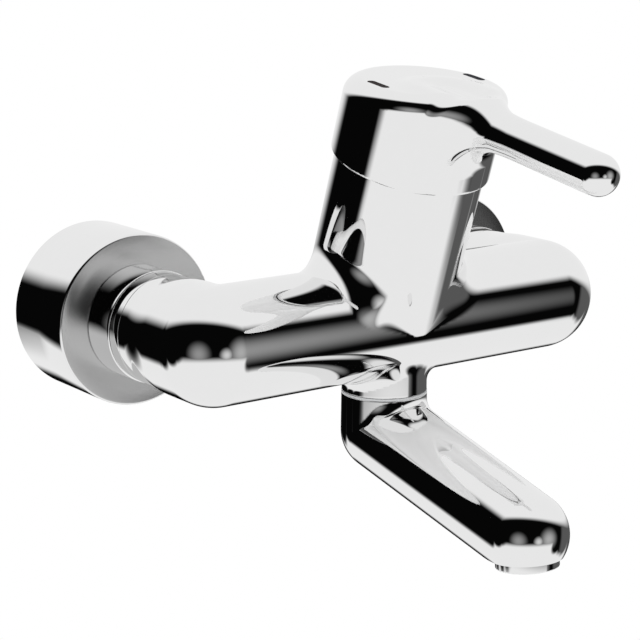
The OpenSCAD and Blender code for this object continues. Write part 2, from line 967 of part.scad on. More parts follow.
module aerator_insert() {
    color(white_tint)
        on_outlet()
            difference() {
                translate([0, 0, insert_recess])
                    cylinder(r = insert_radius - thread_play, h = aerator_height - insert_recess);
                for (row = [0 : jet_rings])
                    for (jet = [0 : max(1, jets_per_ring * row) - 1])
                        rotate([0, 0, jet * 360 / max(1, jets_per_ring * row)])
                            translate([row * jet_pitch, 0, 0])
                                cylinder(r = jet_radius, h = aerator_height + overrun);
            }
}

module aerator_seal() {
    color(black_tint)
        on_outlet()
            ring(insert_radius - outlet_seal, aerator_radius, aerator_height, aerator_height + outlet_seal);
}

module rosette_left() { rosette(-1); }
module rosette_right() { rosette(1); }
module s_union_left() { s_union(-1); }
module s_union_right() { s_union(1); }
module union_nut_left() { union_nut(-1); }
module union_nut_right() { union_nut(1); }
module inlet_bush_left() { inlet_bush(-1); }
module inlet_bush_right() { inlet_bush(1); }
module inlet_washer_left() { inlet_washer(-1); }
module inlet_washer_right() { inlet_washer(1); }

body();
rosette_left();
rosette_right();
s_union_left();
s_union_right();
union_nut_left();
union_nut_right();
inlet_bush_left();
inlet_bush_right();
inlet_washer_left();
inlet_washer_right();
cartridge_base();
port_seals();
fixed_disc();
moving_disc();
disc_carrier();
cartridge_housing();
rotor();
pivot_pin();
clamp_nut();
glide_dome();
spindle();
handle();
index_hot();
index_cold();
handle_screw();
screw_plug();
spout();
spout_spigot();
spout_orings();
spout_screw();
swivel_ring();
aerator_housing();
aerator_insert();
aerator_seal();
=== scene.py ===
"""Chromed pieces, inner parts and studio of a wall-mounted single-lever basin mixer."""

import json
import math

import bmesh
import bpy
import numpy as np
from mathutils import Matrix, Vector


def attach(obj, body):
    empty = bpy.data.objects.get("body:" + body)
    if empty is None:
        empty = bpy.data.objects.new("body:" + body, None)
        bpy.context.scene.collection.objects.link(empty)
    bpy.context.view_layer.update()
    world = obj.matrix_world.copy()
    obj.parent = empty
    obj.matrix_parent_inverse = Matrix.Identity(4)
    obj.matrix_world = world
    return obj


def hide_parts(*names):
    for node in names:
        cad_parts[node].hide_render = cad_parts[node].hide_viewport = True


bl_info = {
    "name": "Wall mixer",
    "version": (1, 0, 0),
    "blender": (4, 5, 0),
    "location": "3D View > Sidebar > Mixer",
    "description": "Models the chromed pieces of a wall-mounted basin mixer around its solids",
    "category": "Object",
}

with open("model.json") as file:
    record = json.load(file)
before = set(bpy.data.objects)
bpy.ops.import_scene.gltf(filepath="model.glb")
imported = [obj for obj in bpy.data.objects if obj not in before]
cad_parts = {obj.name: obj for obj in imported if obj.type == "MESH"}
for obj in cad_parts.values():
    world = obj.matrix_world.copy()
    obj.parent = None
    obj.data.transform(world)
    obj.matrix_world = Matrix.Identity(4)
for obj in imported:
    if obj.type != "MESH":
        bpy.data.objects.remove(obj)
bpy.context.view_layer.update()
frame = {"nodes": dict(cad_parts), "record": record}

# Lengths in the code are in millimetres, and in Blender in metres
MM = 0.001
TINY = 1e-9
UP = np.array([0.0, 0.0, 1.0])
TURN_STEPS = 160
ARC_STEPS = 6
EDGE_STEPS = 4
SMOOTH_ANGLE = math.radians(32)
BODY_GRAIN, HANDLE_GRAIN, SPOUT_GRAIN = 0.9, 0.65, 0.62
# Past the second depth from the wall, the rosettes' front is satin and carries painted shade
ROSETTE_DEPTH, SATIN_AND_PAINTED_SHADE_DEPTH = 34.3, 34.2


def size(name, note, value):
    """A length of the mixer, in metres, that a user may change."""
    return bpy.props.FloatProperty(name=name, description=note, default=value * MM,
                                   unit="LENGTH", subtype="DISTANCE", precision=5)


def angle(name, note, value):
    """An angle of the mixer that a user may change."""
    return bpy.props.FloatProperty(name=name, description=note, default=math.radians(value),
                                   unit="ROTATION", subtype="ANGLE")


def tint(name, note, value):
    """A colour of the mixer that a user may change."""
    return bpy.props.FloatVectorProperty(name=name, description=note, default=value, size=3,
                                         min=0, max=1, subtype="COLOR")


def factor(name, note, value):
    """A number from 0 to 1 that a user may change."""
    return bpy.props.FloatProperty(name=name, description=note, default=value, min=0, max=1,
                                   subtype="FACTOR")


class MixerSizes(bpy.types.PropertyGroup):
    """Sizes that the chromed pieces share."""

    half_spacing: size("Half spacing", "Half the distance between the two inlets", 75)
    bar_height: size("Bar height", "Height of the bar over the wall inlets", 8)
    bar_reach: size("Bar reach", "Distance from the wall to the bar's axis", 85.6)
    bar_radius: size("Bar radius", "Radius of the bar and its arms", 21.15)
    arm_end: size("Arm end", "Distance from the wall to the end of an arm", 55)
    taper_start: size("Taper start", "Distance from the wall where an arm's taper starts", 72)
    taper_end: size("Taper end", "Distance from the wall where an arm's taper ends", 59)
    arm_radius: size("Arm radius", "Radius of an arm at its end", 20.42)
    tower_lean: angle("Tower lean", "Forward lean of the tower", 18.9)
    tower_radius: size("Tower radius", "Radius of the tower", 27)
    tower_height: size("Tower height", "Height of the tower along its axis", 63.7)
    tower_setback: size("Tower setback", "How far the tower's axis passes behind the bar's", 6.6)
    tower_foot: size("Tower foot", "Height where the rounding of the tower's foot starts", 2)
    foot_round: size("Foot rounding", "Rounding of the tower's foot", 12)
    tower_blend: size("Tower blend", "Radius of the hollow between tower and bar", 9)
    neck_radius: size("Neck radius", "Radius of the neck under the bar", 15.8)
    neck_drop: size("Neck drop", "Drop from the bar's axis to the swivel seam", 26.6)
    tower_edge: size("Tower edge", "Rounding of the tower's top edge", 0.3)
    seam_edge: size("Seam edge", "Rounding of the two edges at the swivel seam", 0.35)
    arm_edge: size("Arm edge", "Rounding of the edge at the end of an arm", 0.1)
    neck_blend: size("Neck blend", "Radius of the hollow between neck and bar", 4)
    elbow_blend: size("Elbow blend", "Radius of the hollow inside each elbow", 4)
    cap_radius: size("Cap radius", "Radius of the handle's cap", 28.7)
    cap_base: size("Cap base", "Height of the cap's lower edge on the tower's axis", 64)
    cap_top: size("Cap top", "Height of the cap's top on the tower's axis", 94.3)
    cap_tilt: angle("Cap tilt", "Tilt of the cap's top to the tower's cross-section", 10.4)
    cap_round: size("Cap rounding", "Rounding of the cap's top rim", 6)
    cap_hem: size("Cap hem", "Rounding of the cap's lower edge", 1.2)
    hem_height: size("Hem height", "Height of the widest line of the lower rounding", 0.6)
    hollow_radius: size("Cap hollow", "Radius of the round hollow under the cap", 28.69)
    hinge_height: size("Hinge height", "Height of the lever's hinge on the tower's axis", 55.2)
    lever_radius: size("Lever radius", "Radius of the lever", 7)
    lever_reach: size("Lever reach", "From the cap's axis to the centre of the lever's end", 88.7)
    lever_rise: angle("Lever rise", "Rise of the lever from the tower's cross-section", 8.5)
    lever_depth: size("Lever depth", "Depth of the lever's axis under the cap's top", 6.8)
    lever_blend: size("Lever blend", "Radius of the hollow between lever and cap", 14)
    bend_drop: size("Bend drop", "Drop from the bar's axis to the spout's bend", 42.2)
    bend_radius: size("Bend radius", "Radius of the spout at its bend", 16.1)
    tip_radius: size("Tip radius", "Radius of the spout at its tip", 15.1)
    spout_reach: size("Spout reach", "Horizontal distance from the swivel to the tip", 79.5)
    spout_fall: angle("Spout fall", "Slope of the spout below level", 13.3)
    spout_blend: size("Spout blend", "Radius of the hollow inside the spout's bend", 3)
    ring_thickness: size("Seam", "Height of the swivel seam", 0.8)
    end_drop: size("End drop", "Drop from the tip's centre to the spout's flat end", 8.4)
    outlet_drop: size("Outlet drop", "Drop from the tip's centre to the outlet", 11.4)
    outlet_tilt: angle("Outlet tilt", "Forward tilt of the outlet", 6.8)
    outlet_radius: size("Outlet radius", "Radius of the outlet's ring", 11.1)


class MixerFinish(bpy.types.PropertyGroup):
    """Colours and finishes of the mixer and its studio."""

    chrome: tint("Chrome", "Colour of the plated metal", (0.9, 0.9, 0.9))
    brass: tint("Brass", "Colour of the bare brass pieces", (0.72, 0.52, 0.22))
    steel: tint("Steel", "Colour of the screws and the pin", (0.52, 0.52, 0.53))
    ceramic: tint("Ceramic", "Colour of the control discs", (0.84, 0.83, 0.79))
    plastic: tint("Cartridge", "Colour of the cartridge's plastic", (0.6, 0.61, 0.62))
    glide: tint("Glide", "Colour of the glide ring and the jet plate", (0.7, 0.71, 0.72))
    rubber: tint("Rubber", "Colour of the seals", (0.03, 0.03, 0.03))
    hot: tint("Hot mark", "Colour of the hot water mark", (0.012, 0.003, 0.003))
    cold: tint("Cold mark", "Colour of the cold water mark", (0.003, 0.004, 0.012))
    facing: factor("Facing", "Roughness of the rosettes' satin front", 0.22)
    studio: factor("Studio", "Brightness of the studio's pale walls", 0.88)


def sizes():
    return bpy.context.scene.mixer_sizes


def finish():
    return bpy.context.scene.mixer_finish


def mm(name):
    """One of the mixer's sizes in millimetres."""
    return getattr(sizes(), name) / MM


# Places

class Tower:
    """The tower's own directions: back, and up along its leaning axis."""

    def __init__(self):
        lean = sizes().tower_lean
        self.foot = np.array([0.0, mm("tower_setback") - mm("bar_reach"), mm("bar_height")])
        self.back = np.array([0.0, math.cos(lean), math.sin(lean)])
        self.axis = np.array([0.0, -math.sin(lean), math.cos(lean)])

    def point(self, height):
        """A point on the axis."""
        return self.foot + self.axis * height

    def height(self, points):
        """Heights of points along the axis."""
        return (points - self.foot) @ self.axis


def bend_point():
    return np.array([0.0, -mm("bar_reach"), mm("bar_height") - mm("bend_drop")])


def tip_point():
    return bend_point() + np.array([0, -1, -math.tan(sizes().spout_fall)]) * mm("spout_reach")


def outlet_axis():
    """Direction up into the outlet."""
    tilt = sizes().outlet_tilt
    return np.array([0.0, math.sin(tilt), math.cos(tilt)])


def lever_line():
    """Start and direction of the lever's axis."""
    tower, rise = Tower(), sizes().lever_rise
    start = tower.point(mm("cap_top") - mm("lever_depth"))
    return start, tower.axis * math.sin(rise) - tower.back * math.cos(rise)


def cap_plane():
    """A point of the cap's top face and the face's direction."""
    tower, tilt = Tower(), sizes().cap_tilt
    return tower.point(mm("cap_top")), tower.axis * math.cos(tilt) + tower.back * math.sin(tilt)


# Forms: each gives the distance to a plain form, and the direction away from it

def unit(vectors):
    return vectors / np.maximum(np.linalg.norm(vectors, axis=-1, keepdims=True), TINY)


def ease(low, high, value):
    """0 up to the low value, 1 from the high one, and a soft rise between them."""
    t = np.clip((value - low) / (high - low), 0, 1)
    return t * t * (3 - 2 * t)


def shell(off, girth):
    """Form at a girth round a line or point, from the vectors that lead off it."""
    far = np.linalg.norm(off, axis=1)
    return far - girth, off / np.maximum(far, TINY)[:, None]


def rod(points, start, end, radius, end_radius=None, open_end=False):
    """Straight round rod with round ends, tapered if asked, and endless past its end if open."""
    start, end = np.asarray(start, float), np.asarray(end, float)
    along = end - start
    share = ((points - start) @ along) / (along @ along)
    held = np.maximum(share, 0) if open_end else np.clip(share, 0, 1)
    girth = radius
    if end_radius is not None:
        girth = radius + (end_radius - radius) * np.clip(share, 0, 1)
    return shell(points - start - held[:, None] * along, girth)


def flat(points, place, normal):
    """All that lies behind a plane."""
    return (points - place) @ normal, np.broadcast_to(normal, points.shape)


def blend(one, other, radius):
    """Both forms, with a hollow of that radius where they meet at an angle."""
    (a, na), (b, nb) = one, other
    meet, full_hollow, still = np.sum(na * nb, axis=1), 0.5, 1e-6
    r = radius * ease(0, full_hollow, 1 - meet)
    u, v = np.maximum(r - a, 0), np.maximum(r - b, 0)
    bulk = np.hypot(u, v)
    plain = np.minimum(a, b)
    d = np.where(r > still, np.maximum(r, plain) - bulk, plain)
    nearer = np.where((a < b)[:, None], na, nb)
    n = np.where((bulk > still)[:, None], u[:, None] * na + v[:, None] * nb, nearer)
    return d, unit(n)


def trim(one, other, radius):
    """What two forms share, with an edge of that radius."""
    (a, na), (b, nb) = one, other
    u, v = a + radius, b + radius
    round_part = np.hypot(np.maximum(u, 0), np.maximum(v, 0))
    d = np.minimum(np.maximum(u, v), 0) + round_part - radius
    nearer = np.where((u > v)[:, None], na, nb)
    on_edge = ((u > 0) & (v > 0))[:, None]
    return d, unit(np.where(on_edge, u[:, None] * na + v[:, None] * nb, nearer))


def arm_girth(ahead):
    """Radius of an arm at a distance from the wall: its taper sets in and runs out softly."""
    share = ease(mm("taper_end"), mm("taper_start"), np.asarray(ahead, float))
    return mm("arm_radius") + (mm("bar_radius") - mm("arm_radius")) * share


def arm_form(points, side):
    """One tapering arm, from its round elbow back to the wall."""
    off = points - np.array([side * mm("half_spacing"), 0, mm("bar_height")])
    ahead = -points[:, 1]
    past = np.maximum(ahead - mm("bar_reach"), 0)
    return shell(np.stack([off[:, 0], -past, off[:, 2]], axis=1), arm_girth(ahead))


def body_form(points, ends=False):
    """Bar, arms, tower and neck; the flat ends are left out while the skin is drawn on."""
    tower = Tower()
    left = np.array([-mm("half_spacing"), -mm("bar_reach"), mm("bar_height")])
    right = left * [-1, 1, 1]
    form = rod(points, left, right, mm("bar_radius"))
    wall_end = flat(points, np.array([0, -mm("arm_end"), 0]), np.array([0.0, 1, 0]))
    for side in (-1, 1):
        arm = arm_form(points, side)
        if ends:
            arm = trim(arm, wall_end, mm("arm_edge"))
        form = blend(form, arm, mm("elbow_blend"))
    far_below = -200
    trunk = rod(points, tower.point(far_below), tower.point(0), mm("tower_radius"), open_end=True)
    sole = flat(points, tower.point(mm("tower_foot") - mm("foot_round")), -tower.axis)
    trunk = trim(trunk, sole, mm("foot_round"))
    if ends:
        top = flat(points, tower.point(mm("tower_height")), tower.axis)
        trunk = trim(trunk, top, mm("tower_edge"))
    form = blend(form, trunk, mm("tower_blend"))
    middle = (left + right) / 2
    seam = middle - UP * mm("neck_drop")
    neck = rod(points, middle, seam, mm("neck_radius"), open_end=True)
    if ends:
        neck = trim(neck, flat(points, seam, -UP), mm("seam_edge"))
    return blend(form, neck, mm("neck_blend"))


def lever_form(points):
    """The lever, whose root grows until its upper line runs into the cap's top."""
    start, out = lever_line()
    inside, swell_inside, swell_outside = 12.0, 3, 22
    along = np.clip((points - start) @ out, inside, mm("lever_reach"))
    spread = math.tan(sizes().cap_tilt - sizes().lever_rise)
    flush = np.maximum(mm("lever_depth") - mm("lever_radius") + spread * along, 0)
    rim = mm("cap_radius")
    girth = mm("lever_radius") + flush * (1 - ease(rim - swell_inside, rim + swell_outside, along))
    return shell(points - start - along[:, None] * out, girth)


def handle_form(points):
    """Cap and lever, without the hollow, the slots and the screw's hole."""
    tower = Tower()
    side = rod(points, tower.point(0), tower.point(1), mm("cap_radius"), open_end=True)
    cap = trim(side, flat(points, *cap_plane()), mm("cap_round"))
    hem = tower.point(mm("cap_base") + mm("hem_height") - mm("cap_hem"))
    cap = trim(cap, flat(points, hem, -tower.axis), mm("cap_hem"))
    return blend(cap, lever_form(points), mm("lever_blend"))


def spout_form(points, ends=False):
    """Bend and arm of the spout, with the flat end at the seam if asked."""
    bend, tip = bend_point(), tip_point()
    arm = rod(points, bend, tip, mm("bend_radius"), mm("tip_radius"))
    rise, flare = UP * (mm("bend_drop") - mm("neck_drop")), 0.1
    rim = mm("neck_radius") + flare
    stub = rod(points, bend, bend + rise, mm("bend_radius"), rim, open_end=True)
    if ends:
        seam = bend + rise - UP * mm("ring_thickness")
        stub = trim(stub, flat(points, seam, UP), mm("seam_edge"))
    return blend(arm, stub, mm("spout_blend"))


# Modelling

def only(obj):
    """Leaves just this object selected and active."""
    if bpy.context.mode != "OBJECT":
        bpy.ops.object.mode_set(mode="OBJECT")
    bpy.ops.object.select_all(action="DESELECT")
    obj.select_set(True)
    bpy.context.view_layer.objects.active = obj


def added(name):
    """The primitive just added, named."""
    obj = bpy.context.object
    obj.name = obj.data.name = name
    return obj


def metres(point):
    return Vector([float(x) * MM for x in point])


def stick(start, end, radius, end_radius=None, steps=96):
    """Cylinder or cone between two points."""
    start, end = Vector(start), Vector(end)
    along = end - start
    bpy.ops.mesh.primitive_cone_add(
        vertices=steps, radius1=radius * MM,
        radius2=(radius if end_radius is None else end_radius) * MM,
        depth=along.length * MM, location=metres((start + end) / 2),
        rotation=along.to_track_quat("Z", "Y").to_euler())
    return bpy.context.object


def ball(place, radius):
    bpy.ops.mesh.primitive_uv_sphere_add(segments=72, ring_count=36, radius=radius * MM,
                                         location=metres(place))
    return bpy.context.object


def set_in_mesh(obj):
    """Moves the object's place into its mesh."""
    only(obj)
    bpy.ops.object.transform_apply(location=True, rotation=True, scale=True)


def fuse(name, parts, grain):
    """Joins rough forms into one closed skin of even small faces."""
    for obj in parts:
        set_in_mesh(obj)
    only(parts[0])
    for obj in parts[1:]:
        obj.select_set(True)
    bpy.ops.object.join()
    skin = added(name)
    skin.data.remesh_voxel_size = grain * MM
    skin.data.remesh_voxel_adaptivity = 0
    bpy.ops.object.voxel_remesh()
    return skin


def read(items, count, label, width=1, kind=np.float32):
    """One value of each mesh item, as an array."""
    values = np.empty(count * width, kind)
    items.foreach_get(label, values)
    return values.reshape(-1, width) if width > 1 else values


def read_points(mesh):
    return read(mesh.vertices, len(mesh.vertices), "co", 3).astype(float) / MM


def settle(skin, form, keep):
    """Draws a skin onto its exact form and evens out its faces.

    Points outside keep() stay where they are: they are cut off later."""
    rounds, first_pulls, pulls, stride, evening = 5, 6, 3, 1.2, 0.5
    mesh = skin.data
    points = read_points(mesh)
    a, b = read(mesh.edges, len(mesh.edges), "vertices", 2, np.int32).T
    count = np.bincount(a, minlength=len(points)) + np.bincount(b, minlength=len(points))
    count = np.maximum(count, 1)[:, None]
    live = keep(points)
    for step in range(rounds):
        for _ in range(pulls if step else first_pulls):
            d, n = form(points[live])
            points[live] -= n * np.clip(d, -stride, stride)[:, None]
        if step < rounds - 1:
            total = np.zeros_like(points)
            np.add.at(total, a, points[b])
            np.add.at(total, b, points[a])
            points[live] += evening * (total / count - points)[live]
    mesh.vertices.foreach_set("co", (points * MM).astype(np.float32).ravel())
    mesh.update()


def slope(form, points, step=0.02):
    """Exact outward direction of a form's surface."""
    out = np.empty_like(points)
    for axis in range(3):
        shift = np.zeros(3)
        shift[axis] = step
        out[:, axis] = form(points + shift)[0] - form(points - shift)[0]
    return unit(out)


def smooth(obj):
    only(obj)
    bpy.ops.object.shade_smooth_by_angle(angle=SMOOTH_ANGLE)


def polish(obj, form, slack=0.03, likeness=0.8):
    """Smooth shading: the skin takes the form's own directions, other faces are smoothed by angle.

    A face belongs to the skin if all its corners lie on the form and it faces the form's way."""
    smooth(obj)
    mesh = obj.data
    points = read_points(mesh)
    exact = slope(form, points)
    on_skin = np.abs(form(points)[0]) < slack
    faces = len(mesh.polygons)
    starts = read(mesh.polygons, faces, "loop_start", kind=np.int32)
    totals = read(mesh.polygons, faces, "loop_total", kind=np.int32)
    facing = read(mesh.polygons, faces, "normal", 3)
    vertex = read(mesh.loops, len(mesh.loops), "vertex_index", kind=np.int32)
    corner = read(mesh.corner_normals, len(mesh.loops), "vector", 3)
    face = np.repeat(np.arange(faces), totals)
    agree = np.sum(facing[face] * exact[vertex], axis=1) > likeness
    held = np.minimum.reduceat((on_skin[vertex] & agree).astype(int), starts).astype(bool)
    use = held[face]
    corner[use] = exact[vertex[use]]
    mesh.normals_split_custom_set([tuple(float(x) for x in v) for v in corner])


def open_mesh(obj):
    only(obj)
    bpy.ops.object.mode_set(mode="EDIT")
    bpy.ops.mesh.select_all(action="DESELECT")


def close_mesh():
    bpy.ops.object.mode_set(mode="OBJECT")


def choose(obj, kind, test):
    """Selects the faces or edges that pass a test."""
    bpy.ops.mesh.select_mode(type=kind)
    bpy.ops.mesh.select_all(action="DESELECT")
    shape = bmesh.from_edit_mesh(obj.data)
    for item in {"FACE": shape.faces, "EDGE": shape.edges}[kind]:
        if test(item):
            item.select_set(True)
    shape.select_flush_mode()
    bmesh.update_edit_mesh(obj.data)


def draw_rim(shift, share, centre):
    """Extrudes the selected rim by a shift, and scales the new one about a point; in metres."""
    bpy.ops.mesh.extrude_edges_move(TRANSFORM_OT_translate={"value": shift})
    if abs(share[0] - 1) > TINY:
        bpy.ops.transform.resize(value=share, center_override=centre)


def widen_rim(obj, place, radius):
    """Draws a new ring from the selected round rim to another radius in the same plane."""
    same = 2e-3
    shape = bmesh.from_edit_mesh(obj.data)
    spot = metres(place)
    far = [(v.co - spot).length for v in shape.verts if v.select]
    share = radius * MM / (sum(far) / len(far))
    if abs(share - 1) > same:
        draw_rim((0, 0, 0), (share, share, share), spot)


def finish_end(obj, place, normal, near, edge=0.0, bore=None, depth=0.0):
    """Cuts an end off flat, rounds its edge and sinks a bore into it.

    Without a bore, the end's rim stays open and selected."""
    facing = Vector([float(x) for x in normal])
    spot = metres(place)
    rounding, level = edge * MM, 1e-7

    def is_near(item):
        return near(np.array(item.calc_center_median()) / MM)

    for k in range(EDGE_STEPS + 1 if edge else 1):
        last = k == EDGE_STEPS or not edge
        below = 0 if last else edge * (1 - math.sin(math.radians(90 * k / EDGE_STEPS))) * MM
        choose(obj, "FACE", is_near)
        bpy.ops.mesh.bisect(plane_co=spot - facing * below, plane_no=facing, use_fill=False,
                            clear_outer=last, threshold=1e-8)
    shape = bmesh.from_edit_mesh(obj.data)
    for v in shape.verts:
        high = (v.co - spot).dot(facing)
        if high < -rounding - TINY or high > level or not near(np.array(v.co) / MM):
            continue
        out = (v.co - spot) - facing * high
        inward = rounding - math.sqrt(max(rounding ** 2 - (high + rounding) ** 2, 0))
        v.co -= out.normalized() * inward
    bmesh.update_edit_mesh(obj.data)
    choose(obj, "EDGE", lambda e: len(e.link_faces) == 1)
    if bore:
        widen_rim(obj, place, bore)
        bpy.ops.mesh.extrude_edges_move(TRANSFORM_OT_translate={"value": -facing * depth * MM})
        bpy.ops.mesh.edge_face_add()


def carve(obj, tool):
    """Takes the tool's form out of a piece."""
    only(obj)
    cut = obj.modifiers.new("carve", "BOOLEAN")
    cut.operation, cut.object, cut.solver = "DIFFERENCE", tool, "EXACT"
    bpy.ops.object.modifier_apply(modifier=cut.name)
    bpy.data.objects.remove(tool, do_unlink=True)


def arc(centre, radius, start, end):
    """Points of an arc in a turned piece's outline, in degrees from the outward direction."""
    turns = [math.radians(start + (end - start) * k / ARC_STEPS) for k in range(ARC_STEPS + 1)]
    return [(centre[0] + radius * math.cos(t), centre[1] + radius * math.sin(t)) for t in turns]


def turned(name, outline):
    """Turns a closed outline of (radius, height) about the upright axis."""
    radius, height = outline[0]
    bpy.ops.mesh.primitive_circle_add(vertices=TURN_STEPS, radius=radius * MM,
                                      location=(0, 0, height * MM))
    obj = added(name)
    set_in_mesh(obj)
    bpy.ops.object.mode_set(mode="EDIT")
    bpy.ops.mesh.select_all(action="SELECT")
    bpy.ops.mesh.select_mode(type="EDGE")
    for new_radius, new_height in outline[1:] + outline[:1]:
        share = new_radius / radius
        draw_rim((0, 0, (new_height - height) * MM), (share, share, 1), (0, 0, new_height * MM))
        radius, height = new_radius, new_height
    bpy.ops.mesh.select_all(action="SELECT")
    bpy.ops.mesh.remove_doubles(threshold=2e-6)
    bpy.ops.mesh.normals_make_consistent(inside=False)
    close_mesh()
    return obj


def put(obj, place, turn):
    """Turns and moves a piece that was modelled upright at the origin."""
    obj.rotation_euler = turn
    obj.location = metres(place)
    set_in_mesh(obj)


def twin(obj, name, shift):
    """A copy with its own mesh, moved along the bar."""
    only(obj)
    bpy.ops.object.duplicate(linked=False)
    copy = added(name)
    copy.location = metres((shift, 0, 0))
    set_in_mesh(copy)
    return copy


def slot_block(side, width, length, height, depth):
    """A block with round ends, sunk to a depth into the cap's top on one side."""
    inset, behind, full_round = 7.3, 1.0, 0.499
    top, facing = cap_plane()
    across = np.array([side * (mm("cap_radius") - inset), 0, 0])
    bpy.ops.mesh.primitive_cube_add(size=1, location=(0, 0, 0))
    block = bpy.context.object
    block.scale = (width * MM, length * MM, height * MM)
    set_in_mesh(block)
    open_mesh(block)
    choose(block, "EDGE",
           lambda e: abs((e.verts[0].co - e.verts[1].co).z) > 0.5 * height * MM)
    bpy.ops.mesh.bevel(offset=width * MM * full_round, segments=8, profile=0.5, affect="EDGES")
    close_mesh()
    place = top + across + np.cross(facing, [1, 0, 0]) * behind
    put(block, place + facing * (height / 2 - depth),
        (sizes().tower_lean - sizes().cap_tilt, 0, 0))
    return block


def stand_for(obj, node, body, material):
    """The piece takes a solid's place on its body."""
    obj.data.materials.clear()
    obj.data.materials.append(material)
    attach(obj, body)
    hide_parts(node)


# Materials

def numbers(tree, operation, first, second=None, third=None, clamp=False):
    """A maths node whose inputs are sockets or numbers."""
    node = tree.nodes.new("ShaderNodeMath")
    node.operation, node.use_clamp = operation, clamp
    for socket, value in zip(node.inputs, (first, second, third)):
        if value is None:
            continue
        if isinstance(value, (int, float)):
            socket.default_value = value
        else:
            tree.links.new(value, socket)
    return node.outputs[0]


def scaled(tree, colour, share):
    """A colour socket times a number socket."""
    node = tree.nodes.new("ShaderNodeVectorMath")
    node.operation = "SCALE"
    tree.links.new(colour, node.inputs[0])
    tree.links.new(share, node.inputs["Scale"])
    return node.outputs[0]


def place_on(tree, axis):
    """Where a point lies along one axis, in metres."""
    parts = tree.nodes.new("ShaderNodeSeparateXYZ")
    where = tree.nodes.new("ShaderNodeTexCoord")
    tree.links.new(where.outputs["Object"], parts.inputs[0])
    return parts.outputs[axis]


def group_node(tree, name):
    node = tree.nodes.new("ShaderNodeGroup")
    node.node_tree = bpy.data.node_groups[name]
    return node


def mottle_group():
    """Soft uneven tone of a real surface: a wide cloud and a fine one."""
    tree = bpy.data.node_groups.new("Mottle", "ShaderNodeTree")
    face, link = tree.interface, tree.links.new
    face.new_socket("Tint", in_out="INPUT", socket_type="NodeSocketColor")
    for label in ("Unevenness", "Cloud", "Grain", "Gloss", "Haze"):
        face.new_socket(label, in_out="INPUT", socket_type="NodeSocketFloat")
    face.new_socket("Color", in_out="OUTPUT", socket_type="NodeSocketColor")
    for label in ("Roughness", "Height"):
        face.new_socket(label, in_out="OUTPUT", socket_type="NodeSocketFloat")
    given = tree.nodes.new("NodeGroupInput").outputs
    made = tree.nodes.new("NodeGroupOutput").inputs
    where = tree.nodes.new("ShaderNodeTexCoord").outputs["Object"]
    tones = {}
    for label, detail in (("Cloud", 3.0), ("Grain", 2.0)):
        noise = tree.nodes.new("ShaderNodeTexNoise")
        link(where, noise.inputs["Vector"])
        link(given[label], noise.inputs["Scale"])
        noise.inputs["Detail"].default_value = detail
        tones[label] = noise.outputs["Fac"]
    centred = numbers(tree, "SUBTRACT", numbers(tree, "ADD", *tones.values()), 1.0)
    tone = numbers(tree, "MULTIPLY_ADD", centred, given["Unevenness"], 1.0)
    rough = numbers(tree, "MULTIPLY_ADD", centred, given["Haze"], given["Gloss"], clamp=True)
    link(scaled(tree, given["Tint"], tone), made["Color"])
    link(rough, made["Roughness"])
    link(tones["Grain"], made["Height"])


def lathe_group():
    """Fine, slightly wavering machining marks."""
    tree = bpy.data.node_groups.new("Turning marks", "ShaderNodeTree")
    face, link = tree.interface, tree.links.new
    pitch = face.new_socket("Pitch", in_out="INPUT", socket_type="NodeSocketFloat")
    pitch.default_value = 2500.0
    face.new_socket("Height", in_out="OUTPUT", socket_type="NodeSocketFloat")
    given = tree.nodes.new("NodeGroupInput").outputs
    made = tree.nodes.new("NodeGroupOutput").inputs
    where = tree.nodes.new("ShaderNodeTexCoord").outputs["Object"]
    wave = tree.nodes.new("ShaderNodeTexWave")
    wave.wave_type, wave.bands_direction = "BANDS", "DIAGONAL"
    wave.inputs["Distortion"].default_value = 1.5
    link(where, wave.inputs["Vector"])
    link(given["Pitch"], wave.inputs["Scale"])
    link(wave.outputs["Fac"], made["Height"])


def surface(name, colour, unevenness, cloud, grain, gloss, haze, bump=0.0, metallic=0.0,
            coat=0.0, turning=0.0, sheen=0.5):
    """A procedural material: tone, gloss and fine relief all change over the surface."""
    mat = bpy.data.materials.new(name)
    mat.use_nodes = True
    mat.diffuse_color = (*colour, 1)
    tree = mat.node_tree
    shader = tree.nodes["Principled BSDF"]
    shader.inputs["Metallic"].default_value = metallic
    shader.inputs["Coat Weight"].default_value = coat
    shader.inputs["Specular IOR Level"].default_value = sheen
    mottle = group_node(tree, "Mottle")
    mottle.inputs["Tint"].default_value = (*colour, 1)
    for label, value in (("Unevenness", unevenness), ("Cloud", cloud), ("Grain", grain),
                         ("Gloss", gloss), ("Haze", haze)):
        mottle.inputs[label].default_value = value
    tree.links.new(mottle.outputs["Color"], shader.inputs["Base Color"])
    tree.links.new(mottle.outputs["Roughness"], shader.inputs["Roughness"])
    if bump or turning:
        relief = tree.nodes.new("ShaderNodeBump")
        relief.inputs["Strength"].default_value = bump or turning
        relief.inputs["Distance"].default_value = 0.02 * MM
        marks = group_node(tree, "Turning marks") if turning else mottle
        tree.links.new(marks.outputs["Height"], relief.inputs["Height"])
        tree.links.new(relief.outputs["Normal"], shader.inputs["Normal"])
    return mat


def plated(name):
    """Bright chrome plate with the faintest haze."""
    return surface(name, tuple(finish().chrome), unevenness=0.012, cloud=24, grain=260,
                   gloss=0.022, haze=0.012, metallic=1)


